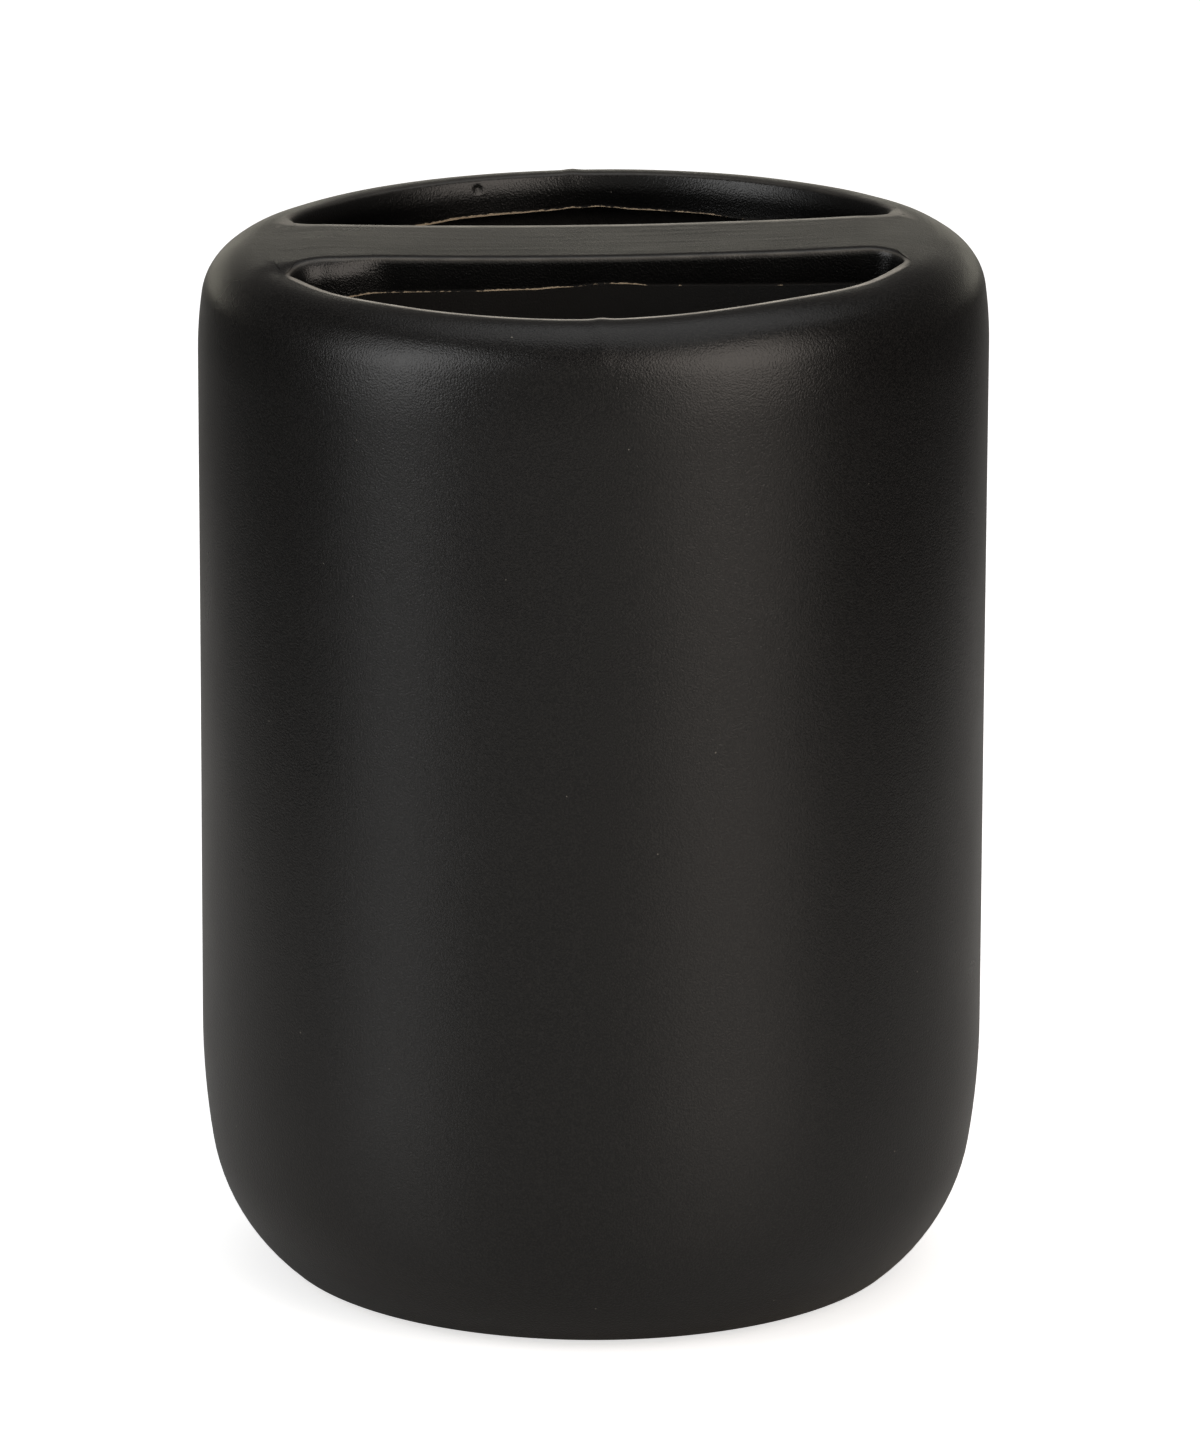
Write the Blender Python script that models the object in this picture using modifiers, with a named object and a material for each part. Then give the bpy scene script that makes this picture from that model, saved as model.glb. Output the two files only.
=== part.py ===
"""Toothbrush cup: a slip-cast ceramic tumbler with a bridge across its mouth, on four bumpers.

The bridge and the rim round it are one casting with the wall. It leaves two half-moon slots,
whose edges roll over into short lips that hang inside the cup and end in a trimmed edge.
Metres, +Z up. The origin is on the table under the middle of the cup, the bridge runs along X,
and the front of the cup is at -Y.
"""

import math

import bmesh
import bpy
from mathutils import Vector

MM = 0.001

# Ceramic body, outside
CUP_HEIGHT = 107.5 * MM  # table to rim, with the bumpers in place
BODY_RADIUS = 40.0 * MM
SHOULDER_RADIUS = 5.5 * MM  # where the top turns into the side
SHOULDER_EASE_RADIUS = 42.0 * MM  # the side draws in gently below the shoulder
SHOULDER_EASE_TURN = math.radians(8.0)
HEEL_EASE_RADIUS = 80.0 * MM  # the side draws in gently above the heel
HEEL_EASE_TURN = math.radians(9.0)
HEEL_RADIUS = 20.0 * MM  # where the side turns under
HEEL_TURN = math.radians(50.0)
FOOT_EDGE_RADIUS = 1.5 * MM  # where the heel meets the foot ring

# Ceramic body, inside and underneath
WALL = 3.4 * MM
FLOOR = 4.0 * MM
FLOOR_FILLET = 5.0 * MM
RIM_FILLET = 2.0 * MM  # between the wall and the underside of the rim
FOOT_RING_WIDTH = 3.6 * MM
RECESS_DEPTH = 1.5 * MM  # the underside inside the foot ring
RECESS_FILLET = 1.0 * MM

# Slots and bridge
BRIDGE_WIDTH = 15.2 * MM  # between the lips, half way along
BRIDGE_END_FLARE = 0.4 * MM  # what each side of the bridge gains towards its ends
RIM_LAND = 0.3 * MM  # flat between the shoulder and the rolled edge
LIP_ROLL_RADIUS = 1.3 * MM
LIP_HANG = 0.4 * MM  # how far a lip hangs below the skin of the top
SLOT_CORNER_RADIUS = 3.2 * MM

# Bumpers
BUMPER_COUNT = 4
BUMPER_RADIUS = 4.5 * MM
BUMPER_EDGE_RADIUS = 0.9 * MM
BUMPER_PROUD = 0.7 * MM  # what stands out below the foot ring
BUMPER_INSET = 2.6 * MM  # from the recess's side to a bumper
SEAT_GAP = 0.3 * MM  # between a bumper and the ceramic that it is stuck to

# Fineness of the mesh
TURN_STEPS = 72
ARC_STEPS = 5
SMALL_ARC_STEPS = 3
SLOT_ARC_STEPS = 40
SLOT_SIDE_STEPS = 16
SLOT_CORNER_STEPS = 5
BUMPER_TURN_STEPS = 32
MERGE_DISTANCE = 0.01 * MM

OVERRUN = 5.0 * MM  # what a cutter runs past the face that it cuts

# Heights
FOOT_Z = BUMPER_PROUD
RECESS_Z = FOOT_Z + RECESS_DEPTH
FLOOR_Z = RECESS_Z + FLOOR
LIP_Z = CUP_HEIGHT - WALL - LIP_HANG  # underside of the lips
SKIN_Z = CUP_HEIGHT - WALL  # underside of the bridge between its lips

QUARTER_TURN = math.pi / 2


def arc(centre, radius, start, end, steps=ARC_STEPS):
    """Points (r, z) on an arc, from angle start to angle end, both ends included."""
    angles = [start + (end - start) * i / steps for i in range(steps + 1)]
    return [Vector((centre[0] + radius * math.cos(a), centre[1] + radius * math.sin(a))) for a in angles]


def ridge_radius():
    """Where the shoulder starts to fall away from the flat top."""
    ease = SHOULDER_EASE_RADIUS * (1 - math.cos(SHOULDER_EASE_TURN))
    return BODY_RADIUS - ease - SHOULDER_RADIUS * math.cos(SHOULDER_EASE_TURN)


def foot_flat_radius():
    """Outer edge of the foot ring's flat face."""
    ease = HEEL_EASE_RADIUS * (1 - math.cos(HEEL_EASE_TURN))
    heel = HEEL_RADIUS * (math.cos(HEEL_EASE_TURN) - math.cos(HEEL_TURN))
    return BODY_RADIUS - ease - heel - FOOT_EDGE_RADIUS * math.cos(HEEL_TURN)


def recess_radius():
    return foot_flat_radius() - FOOT_RING_WIDTH


def side_profile(inset):
    """The lower side, drawn in by inset, as points (r, z) down to the heel, and the heel arc's centre.

    Each arc starts where the one above it ends, with the same direction, so the side has no kink.
    """
    heel_rise = (
        HEEL_EASE_RADIUS * math.sin(HEEL_EASE_TURN)
        + HEEL_RADIUS * (math.sin(HEEL_TURN) - math.sin(HEEL_EASE_TURN))
        + FOOT_EDGE_RADIUS * (1 - math.sin(HEEL_TURN))
    )
    ease_centre = Vector((BODY_RADIUS - HEEL_EASE_RADIUS, FOOT_Z + heel_rise))
    ease_end = Vector((math.cos(HEEL_EASE_TURN), -math.sin(HEEL_EASE_TURN)))
    heel_centre = ease_centre + ease_end * (HEEL_EASE_RADIUS - HEEL_RADIUS)
    ease = arc(ease_centre, HEEL_EASE_RADIUS - inset, 0, -HEEL_EASE_TURN)
    return ease, heel_centre


def outer_profile():
    """Half section of the outside, from the middle of the top down to the middle of the recess."""
    shoulder_z = CUP_HEIGHT - SHOULDER_RADIUS
    ease_z = shoulder_z - (SHOULDER_EASE_RADIUS - SHOULDER_RADIUS) * math.sin(SHOULDER_EASE_TURN)
    shoulder = arc((ridge_radius(), shoulder_z), SHOULDER_RADIUS, QUARTER_TURN, SHOULDER_EASE_TURN)
    ease = arc((BODY_RADIUS - SHOULDER_EASE_RADIUS, ease_z), SHOULDER_EASE_RADIUS, SHOULDER_EASE_TURN, 0)
    side, heel_centre = side_profile(0)
    heel = arc(heel_centre, HEEL_RADIUS, -HEEL_EASE_TURN, -HEEL_TURN)
    inward = Vector((math.cos(HEEL_TURN), -math.sin(HEEL_TURN)))
    edge_centre = heel_centre + inward * (HEEL_RADIUS - FOOT_EDGE_RADIUS)
    foot_edge = arc(edge_centre, FOOT_EDGE_RADIUS, -HEEL_TURN, -QUARTER_TURN, SMALL_ARC_STEPS)
    recess = recess_radius()
    ring_inner = [Vector((recess, FOOT_Z)), Vector((recess, RECESS_Z - RECESS_FILLET))]
    fillet_centre = (recess - RECESS_FILLET, RECESS_Z - RECESS_FILLET)
    fillet = arc(fillet_centre, RECESS_FILLET, 0, QUARTER_TURN, SMALL_ARC_STEPS)
    points = [Vector((0, CUP_HEIGHT))] + shoulder + ease[1:] + side + heel[1:] + foot_edge[1:]
    return points + ring_inner + fillet[1:] + [Vector((0, RECESS_Z))]


def cavity_profile():
    """Half section of the inside, from the underside of the top down to the floor."""
    wall_radius = BODY_RADIUS - WALL
    rim_fillet = arc((wall_radius - RIM_FILLET, LIP_Z - RIM_FILLET), RIM_FILLET, QUARTER_TURN, 0, SMALL_ARC_STEPS)
    side, heel_centre = side_profile(WALL)
    inner_heel = HEEL_RADIUS - WALL
    # The floor's fillet touches the floor and, from inside, the heel's arc. A low heel leaves it less room
    room = heel_centre.y - FLOOR_Z - inner_heel * math.sin(HEEL_EASE_TURN)
    radius = min(FLOOR_FILLET, room / (1 - math.sin(HEEL_EASE_TURN)))
    reach = inner_heel - radius
    turn = math.asin((heel_centre.y - FLOOR_Z - radius) / reach)
    heel = arc(heel_centre, inner_heel, -HEEL_EASE_TURN, -turn)
    fillet = arc((heel_centre.x + reach * math.cos(turn), FLOOR_Z + radius), radius, -turn, -QUARTER_TURN)
    return [Vector((0, LIP_Z))] + rim_fillet + side + heel[1:] + fillet[1:] + [Vector((0, FLOOR_Z))]


def slot_corner_centre():
    """Centre of a slot's corner arc, in the quarter where x and y are positive."""
    reach = slot_radius() - SLOT_CORNER_RADIUS
    y = BRIDGE_WIDTH / 2 + BRIDGE_END_FLARE + SLOT_CORNER_RADIUS
    return Vector((math.sqrt(reach**2 - y**2), y))


def slot_radius():
    """The lip's face on the slot's round side."""
    return ridge_radius() - RIM_LAND - LIP_ROLL_RADIUS


def slot_outline(grow):
    """Points (x, y) of the back slot's outline, grown outwards by grow, counter-clockwise."""
    centre = slot_corner_centre()
    corner = SLOT_CORNER_RADIUS + grow
    lean = math.atan2(centre.y, centre.x)
    right = arc(centre, corner, -QUARTER_TURN, lean, SLOT_CORNER_STEPS)
    back = arc((0, 0), slot_radius() + grow, lean, math.pi - lean, SLOT_ARC_STEPS)
    left = arc((-centre.x, centre.y), corner, math.pi - lean, math.pi + QUARTER_TURN, SLOT_CORNER_STEPS)
    side = []
    for i in range(1, SLOT_SIDE_STEPS):
        x = centre.x * (2 * i / SLOT_SIDE_STEPS - 1)
        flare = BRIDGE_END_FLARE * math.sin(QUARTER_TURN * x / centre.x) ** 2
        side.append(Vector((x, BRIDGE_WIDTH / 2 + flare - grow)))
    return right + back[1:-1] + left + side


def rolled_section():
    """Points (grow, z) of the slot cutter's outlines, from below the lips to above the top."""
    roll = arc((LIP_ROLL_RADIUS, CUP_HEIGHT - LIP_ROLL_RADIUS), LIP_ROLL_RADIUS, math.pi, QUARTER_TURN)
    return [Vector((0, LIP_Z - OVERRUN))] + roll + [Vector((LIP_ROLL_RADIUS, CUP_HEIGHT + OVERRUN))]


def clear_scene():
    for obj in list(bpy.data.objects):
        bpy.data.objects.remove(obj)


def new_collection(name):
    collection = bpy.data.collections.new(name)
    bpy.context.scene.collection.children.link(collection)
    return collection


def new_material(name, colour, roughness):
    material = bpy.data.materials.new(name)
    material.use_nodes = True
    shader = material.node_tree.nodes["Principled BSDF"]
    shader.inputs["Base Color"].default_value = (*colour, 1)
    shader.inputs["Roughness"].default_value = roughness
    shader.inputs["Metallic"].default_value = 0
    material.diffuse_color = (*colour, 1)
    return material


def turned(name, profile, steps, collection):
    """An object whose profile, in the XZ plane, a Screw modifier turns about Z."""
    mesh = bpy.data.meshes.new(name)
    edges = [(i, i + 1) for i in range(len(profile) - 1)]
    mesh.from_pydata([(p.x, 0, p.y) for p in profile], edges, [])
    obj = bpy.data.objects.new(name, mesh)
    collection.objects.link(obj)
    screw = obj.modifiers.new("Turn", "SCREW")
    screw.axis = "Z"
    screw.angle = 2 * math.pi
    screw.steps = steps
    screw.render_steps = steps
    screw.use_merge_vertices = True
    screw.merge_threshold = MERGE_DISTANCE
    screw.use_smooth_shade = True
    return obj


def slot_cutter(name, turn, collection):
    """Lofts the slot's outline through the rolled edge, then turns it about Z."""
    bm = bmesh.new()
    rings = []
    for section in rolled_section():
        rings.append([bm.verts.new((p.x, p.y, section.y)) for p in slot_outline(section.x)])
    for lower, upper in zip(rings, rings[1:]):
        for i in range(len(lower)):
            bm.faces.new((lower[i - 1], lower[i], upper[i], upper[i - 1]))
    bm.faces.new(reversed(rings[0]))
    bm.faces.new(rings[-1])
    bmesh.ops.recalc_face_normals(bm, faces=bm.faces)
    mesh = bpy.data.meshes.new(name)
    bm.to_mesh(mesh)
    bm.free()
    obj = bpy.data.objects.new(name, mesh)
    obj.rotation_euler.z = turn
    collection.objects.link(obj)
    return obj


def groove_cutter(name, collection):
    """The shallow hollow under the bridge, between its two lips."""
    length = 2 * (slot_corner_centre().x + SLOT_CORNER_RADIUS)
    width = BRIDGE_WIDTH - 2 * WALL
    height = LIP_HANG + OVERRUN
    bpy.ops.mesh.primitive_cube_add(size=1, location=(0, 0, SKIN_Z - height / 2), scale=(length, width, height))
    obj = bpy.context.active_object
    obj.name = name
    bpy.context.collection.objects.unlink(obj)
    collection.objects.link(obj)
    return obj


def cut(obj, cutter):
    modifier = obj.modifiers.new(cutter.name, "BOOLEAN")
    modifier.operation = "DIFFERENCE"
    modifier.solver = "EXACT"
    modifier.object = cutter
    cutter.hide_render = True
    cutter.display_type = "WIRE"


def make_cup_body(parts, cutters):
    """The casting: wall, floor, foot ring, rolled rim and bridge."""
    body = turned("cup_body", outer_profile(), TURN_STEPS, parts)
    body.data.materials.append(new_material("satin_black_glaze", (0.011, 0.010, 0.010), 0.42))
    cut(body, turned("cut_cavity", cavity_profile(), TURN_STEPS, cutters))
    cut(body, slot_cutter("cut_back_slot", 0, cutters))
    cut(body, slot_cutter("cut_front_slot", math.pi, cutters))
    cut(body, groove_cutter("cut_bridge_groove", cutters))


def make_bumpers(parts):
    """Round silicone bumpers, stuck in the recess and equally spaced round it."""
    top = RECESS_Z - SEAT_GAP
    edge_centre = (BUMPER_RADIUS - BUMPER_EDGE_RADIUS, BUMPER_EDGE_RADIUS)
    edge = arc(edge_centre, BUMPER_EDGE_RADIUS, 0, -QUARTER_TURN, SMALL_ARC_STEPS)
    profile = [Vector((0, top)), Vector((BUMPER_RADIUS, top))] + edge + [Vector((0, 0))]
    silicone = new_material("clear_silicone", (0.42, 0.42, 0.40), 0.35)
    circle = recess_radius() - BUMPER_INSET - BUMPER_RADIUS
    for i in range(BUMPER_COUNT):
        angle = 2 * math.pi * (i + 0.5) / BUMPER_COUNT
        bumper = turned(f"bumper_{i + 1}", profile, BUMPER_TURN_STEPS, parts)
        bumper.location = (circle * math.cos(angle), circle * math.sin(angle), 0)
        bumper.data.materials.append(silicone)


def main():
    clear_scene()
    parts = new_collection("toothbrush_cup")
    cutters = new_collection("cutters")
    make_cup_body(parts, cutters)
    make_bumpers(parts)


main()
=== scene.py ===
import math

import bmesh
import bpy
from mathutils import Matrix, Quaternion, Vector, noise


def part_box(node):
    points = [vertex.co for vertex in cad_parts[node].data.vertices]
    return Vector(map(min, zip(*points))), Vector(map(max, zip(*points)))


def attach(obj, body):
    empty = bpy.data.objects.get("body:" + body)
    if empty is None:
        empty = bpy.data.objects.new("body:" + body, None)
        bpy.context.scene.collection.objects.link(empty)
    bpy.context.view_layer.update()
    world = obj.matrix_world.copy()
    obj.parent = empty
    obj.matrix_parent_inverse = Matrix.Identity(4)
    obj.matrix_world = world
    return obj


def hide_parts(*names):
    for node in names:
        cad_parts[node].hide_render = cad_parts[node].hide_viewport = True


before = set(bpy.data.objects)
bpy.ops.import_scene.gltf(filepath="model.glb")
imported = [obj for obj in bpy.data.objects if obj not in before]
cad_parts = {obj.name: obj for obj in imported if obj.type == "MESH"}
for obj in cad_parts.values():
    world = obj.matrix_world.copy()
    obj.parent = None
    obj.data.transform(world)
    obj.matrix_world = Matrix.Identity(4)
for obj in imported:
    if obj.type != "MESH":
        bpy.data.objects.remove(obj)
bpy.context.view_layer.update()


# The cup is one slip-cast piece of earthenware. Wall, foot ring, rim and bridge came out of the same two-part
# mould. A knife trimmed each slot, so its edge rolls over into a short lip with a cut lower edge. The piece
# was dipped in satin black glaze, and firing let the bridge sag and tilted the rim a little.
MM = 0.001
AROUND = 384  # edges in each ring of the body
CUP_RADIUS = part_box("cup_body")[1].x
FOOT_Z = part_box("cup_body")[0].z
RIM_Z = 107.0 * MM
SHOULDER_RADIUS = 5.5 * MM
SHOULDER_EASE_RADIUS = 42 * MM
SHOULDER_EASE_TURN = 8  # degrees
HEEL_EASE_RADIUS = 80 * MM
HEEL_EASE_TURN = 9  # degrees
HEEL_RADIUS = 20 * MM
HEEL_TURN = 50  # degrees
FOOT_EDGE_RADIUS = 1.5 * MM
FOOT_RING_WIDTH = 3.6 * MM
RECESS_DEPTH = 1.5 * MM
RECESS_FILLET = 1.0 * MM
RIDGE_RADIUS = (
    CUP_RADIUS
    - SHOULDER_EASE_RADIUS * (1 - math.cos(math.radians(SHOULDER_EASE_TURN)))
    - SHOULDER_RADIUS * math.cos(math.radians(SHOULDER_EASE_TURN))
)


def point_on(centre, radius, turn):
    """The point (r, z) at an angle in degrees on a circle."""
    turn = math.radians(turn)
    return (centre[0] + radius * math.cos(turn), centre[1] + radius * math.sin(turn))


def arc(centre, radius, start, end, steps):
    """Points (r, z) round a centre, from one angle in degrees to another."""
    return [point_on(centre, radius, start + (end - start) * i / steps) for i in range(steps + 1)]


def start_ring(name, radius, z):
    """A ring of edges at its size and height, as a new object in edit mode."""
    bpy.ops.object.select_all(action="DESELECT")
    bpy.ops.mesh.primitive_circle_add(vertices=AROUND, radius=radius, enter_editmode=True)
    bpy.ops.mesh.select_mode(type="VERT")
    bpy.ops.transform.translate(value=(0, 0, z))
    bpy.context.object.name = name
    return bpy.context.object


def draw_rings(points):
    """Extrudes the selected ring from point to point (r, z), and closes it where r comes to nothing."""
    for (radius, z), (next_radius, next_z) in zip(points, points[1:]):
        bpy.ops.mesh.extrude_region_move(TRANSFORM_OT_translate={"value": (0, 0, next_z - z)})
        if next_radius:
            ratio = next_radius / radius
            bpy.ops.transform.resize(value=(ratio, ratio, 1), center_override=(0, 0, 0))
        else:
            bpy.ops.mesh.merge(type="CENTER")


def straight(start, end, steps):
    """Points between two points (r, z), both included."""
    return [tuple(a + (b - a) * i / steps for a, b in zip(start, end)) for i in range(steps + 1)]


# The outside, ring by ring from the top of the shoulder down to the middle of the underside.
shoulder_z = RIM_Z - SHOULDER_RADIUS
ease_z = shoulder_z - (SHOULDER_EASE_RADIUS - SHOULDER_RADIUS) * math.sin(math.radians(SHOULDER_EASE_TURN))
heel_ease_turn = math.radians(HEEL_EASE_TURN)
heel_turn = math.radians(HEEL_TURN)
heel_ease_z = (
    FOOT_Z
    + HEEL_EASE_RADIUS * math.sin(heel_ease_turn)
    + HEEL_RADIUS * (math.sin(heel_turn) - math.sin(heel_ease_turn))
    + FOOT_EDGE_RADIUS * (1 - math.sin(heel_turn))
)
heel_ease_centre = (CUP_RADIUS - HEEL_EASE_RADIUS, heel_ease_z)
heel_centre = point_on(heel_ease_centre, HEEL_EASE_RADIUS - HEEL_RADIUS, -HEEL_EASE_TURN)
foot_centre = point_on(heel_centre, HEEL_RADIUS - FOOT_EDGE_RADIUS, -HEEL_TURN)
recess_radius = foot_centre[0] - FOOT_RING_WIDTH
recess_z = FOOT_Z + RECESS_DEPTH
outside = arc((RIDGE_RADIUS, shoulder_z), SHOULDER_RADIUS, 90, SHOULDER_EASE_TURN, steps=18)
ease_centre = (CUP_RADIUS - SHOULDER_EASE_RADIUS, ease_z)
outside += arc(ease_centre, SHOULDER_EASE_RADIUS, SHOULDER_EASE_TURN, 0, steps=6)[1:]
outside += straight((CUP_RADIUS, ease_z), (CUP_RADIUS, heel_ease_z), steps=24)[1:]
outside += arc(heel_ease_centre, HEEL_EASE_RADIUS, 0, -HEEL_EASE_TURN, steps=8)[1:]
outside += arc(heel_centre, HEEL_RADIUS, -HEEL_EASE_TURN, -HEEL_TURN, steps=12)[1:]
outside += arc(foot_centre, FOOT_EDGE_RADIUS, -HEEL_TURN, -90, steps=5)[1:]
outside += straight((foot_centre[0], FOOT_Z), (recess_radius, FOOT_Z), steps=4)[1:]
recess_centre = (recess_radius - RECESS_FILLET, recess_z - RECESS_FILLET)
outside += arc(recess_centre, RECESS_FILLET, 0, 90, steps=4)
outside += straight((recess_radius - RECESS_FILLET, recess_z), (0, recess_z), steps=8)[1:]
cup = start_ring("cup_glazed_body", RIDGE_RADIUS, RIM_Z)
draw_rings(outside)

# The inside, from the underside of the rim down to the middle of the floor.
WALL = 3.4 * MM
FLOOR = 4.0 * MM
FLOOR_FILLET = 5.0 * MM
RIM_FILLET = 2.0 * MM
LIP_Z = 103.4 * MM  # the underside of the rim, and the lips' cut edge
inner_radius = CUP_RADIUS - WALL
inner_heel = HEEL_RADIUS - WALL
floor_z = recess_z + FLOOR
fillet_reach = inner_heel - FLOOR_FILLET
fillet_turn = math.degrees(math.asin((heel_centre[1] - floor_z - FLOOR_FILLET) / fillet_reach))
fillet_centre = point_on(heel_centre, fillet_reach, -fillet_turn)
inside = arc((inner_radius - RIM_FILLET, LIP_Z - RIM_FILLET), RIM_FILLET, 90, 0, steps=5)
inside += straight((inner_radius, LIP_Z - RIM_FILLET), (inner_radius, heel_ease_z), steps=24)[1:]
inside += arc(heel_ease_centre, HEEL_EASE_RADIUS - WALL, 0, -HEEL_EASE_TURN, steps=8)[1:]
inside += arc(heel_centre, inner_heel, -HEEL_EASE_TURN, -fillet_turn, steps=8)[1:]
inside += arc(fillet_centre, FLOOR_FILLET, -fillet_turn, -90, steps=6)[1:]
inside += straight((fillet_centre[0], floor_z), (0, floor_z), steps=8)[1:]
bpy.ops.mesh.select_all(action="DESELECT")
bpy.ops.mesh.primitive_circle_add(vertices=AROUND, radius=inside[0][0], location=(0, 0, LIP_Z))
draw_rings(inside)
bpy.ops.object.mode_set(mode="OBJECT")


# One slot's rolled edge and lip: lines round the slot, from the flat top down to the cut edge, joined up. The
# edge rolls over slowly from the flat, then tightly, and then curls in a long way to the lip's face.
LEAN = 22.5  # degrees: where a slot's corner meets its round side
RIM_LAND = 0.3 * MM  # the flat of the rim
EDGE_WIDTH = 1.3 * MM  # from the flat of the rim or the bridge to the face of the lip
EDGE_EASE_TURN = 15  # degrees
EDGE_TURN = 70  # degrees
EDGE_RADIUS = 0.54 * MM
LIP_CURL_RADIUS = 5.0 * MM
LIP_THICKNESS = 1.3 * MM
LIP_ROWS = (0.25, 0.5, 0.75, 1.0)  # how far down the flat of the lip's face each row of edges lies
CORNER_RADIUS = 3.2 * MM
CORNER_STEPS = 18
BRIDGE_ROWS = 96  # edges along the bridge
SLOT_RADIUS = RIDGE_RADIUS - RIM_LAND - EDGE_WIDTH
CORNER_X = (SLOT_RADIUS - CORNER_RADIUS) * math.cos(math.radians(LEAN))
CORNER_Y = (SLOT_RADIUS - CORNER_RADIUS) * math.sin(math.radians(LEAN))
SLACK = 0.01 * MM  # room for rounding where a place is past another


def near(a, b):
    """Whether two measures are the same but for rounding."""
    return abs(a - b) < 0.002 * MM


def draw_slot_line(obj, grow, z):
    """Adds a line round the back slot at its height, and as far outside the lip's face as grow says.

    Its round side is cut from a ring, its corners are spun, and an edge between them is its straight side.
    """
    bpy.ops.mesh.select_all(action="DESELECT")
    bpy.ops.mesh.primitive_circle_add(vertices=AROUND, radius=SLOT_RADIUS + grow, location=(0, 0, z))
    mesh = bmesh.from_edit_mesh(obj.data)
    ring = [vert for vert in mesh.verts if vert.select]
    end_y = (SLOT_RADIUS + grow) * math.sin(math.radians(LEAN))
    for vert in ring:
        vert.select_set(vert.co.y < end_y - SLACK)
    bmesh.update_edit_mesh(obj.data)
    bpy.ops.mesh.delete(type="VERT")
    for side in (1, -1):
        bpy.ops.mesh.select_all(action="DESELECT")
        mesh = bmesh.from_edit_mesh(obj.data)
        for vert in mesh.verts:
            vert.select_set(near(vert.co.z, z) and near(vert.co.y, end_y) and vert.co.x * side > 0)
        bmesh.update_edit_mesh(obj.data)
        turn = math.radians(90 + LEAN) * side
        centre = (CORNER_X * side, CORNER_Y, z)
        bpy.ops.mesh.spin(steps=CORNER_STEPS, angle=turn, center=centre, axis=(0, 0, 1))
    bpy.ops.mesh.select_all(action="DESELECT")
    mesh = bmesh.from_edit_mesh(obj.data)
    bridge_y = CORNER_Y - CORNER_RADIUS - grow
    for vert in mesh.verts:
        vert.select_set(near(vert.co.z, z) and near(vert.co.y, bridge_y))
    bmesh.update_edit_mesh(obj.data)
    bpy.ops.mesh.edge_face_add()
    bpy.ops.mesh.subdivide(number_cuts=BRIDGE_ROWS - 1)


edge_ease_turn, edge_turn = math.radians(EDGE_EASE_TURN), math.radians(EDGE_TURN)
tight_width = EDGE_RADIUS * (math.sin(edge_turn) - math.sin(edge_ease_turn))
curl_width = LIP_CURL_RADIUS * (1 - math.sin(edge_turn))
edge_ease_radius = (EDGE_WIDTH - tight_width - curl_width) / math.sin(edge_ease_turn)
roll_over = arc((EDGE_WIDTH, RIM_Z - edge_ease_radius), edge_ease_radius, 90, 90 + EDGE_EASE_TURN, steps=3)
tight_centre = point_on(roll_over[-1], -EDGE_RADIUS, 90 + EDGE_EASE_TURN)
tight = arc(tight_centre, EDGE_RADIUS, 90 + EDGE_EASE_TURN, 90 + EDGE_TURN, steps=7)
face_top = tight[-1][1]
curl_z = face_top - LIP_CURL_RADIUS * math.cos(edge_turn)
curl = arc((LIP_CURL_RADIUS, curl_z), LIP_CURL_RADIUS, 90 + EDGE_TURN, 180, steps=6)
lip_lines = roll_over + tight[1:] + curl[1:]
lip_lines += [(0, curl_z + (LIP_Z - curl_z) * row) for row in LIP_ROWS] + [(LIP_THICKNESS, LIP_Z)]
slot = start_ring("cup_slot", 1, 0)
bpy.ops.mesh.delete(type="VERT")
for grow, z in lip_lines:
    draw_slot_line(slot, grow, z)
bpy.ops.mesh.select_mode(type="EDGE")
bpy.ops.mesh.select_all(action="SELECT")
bpy.ops.mesh.bridge_edge_loops()
bpy.ops.object.mode_set(mode="OBJECT")
bpy.ops.object.duplicate()
front_slot = bpy.context.object
front_slot.matrix_world = Matrix.Rotation(math.pi, 4, "Z")
bpy.ops.object.transform_apply(location=False, rotation=True, scale=False)
slot.select_set(True)
cup.select_set(True)
bpy.context.view_layer.objects.active = cup
bpy.ops.object.join()


# The flat of the rim, the bridge and the bridge's ends close the top. One fill closes the lips' underside.
def select_where(obj, test):
    """In edit mode, selects the edges both of whose ends pass the test."""
    bpy.ops.mesh.select_mode(type="EDGE")
    bpy.ops.mesh.select_all(action="DESELECT")
    mesh = bmesh.from_edit_mesh(obj.data)
    for edge in mesh.edges:
        edge.select_set(test(edge.verts[0].co) and test(edge.verts[1].co))
    bmesh.update_edit_mesh(obj.data)


bpy.ops.object.mode_set(mode="EDIT")
bpy.ops.mesh.select_mode(type="VERT")
bridge_side_y = CORNER_Y - CORNER_RADIUS - EDGE_WIDTH
turn_slack = 0.001
land_turn = math.radians(LEAN) - turn_slack
end_edges = 2 * round(AROUND * LEAN / 360)  # how many edges of the ridge lie at each end of the bridge
for side in (1, -1):
    select_where(
        cup,
        lambda co: near(co.z, RIM_Z)
        and (near(co.xy.length, RIDGE_RADIUS) or near(co.xy.length, SLOT_RADIUS + EDGE_WIDTH))
        and math.atan2(co.y * side, abs(co.x)) > land_turn,
    )
    bpy.ops.mesh.bridge_edge_loops()
select_where(
    cup,
    lambda co: near(co.z, RIM_Z) and near(abs(co.y), bridge_side_y) and abs(co.x) < CORNER_X + SLACK,
)
bpy.ops.mesh.bridge_edge_loops(number_cuts=end_edges - 1, interpolation="LINEAR")
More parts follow.
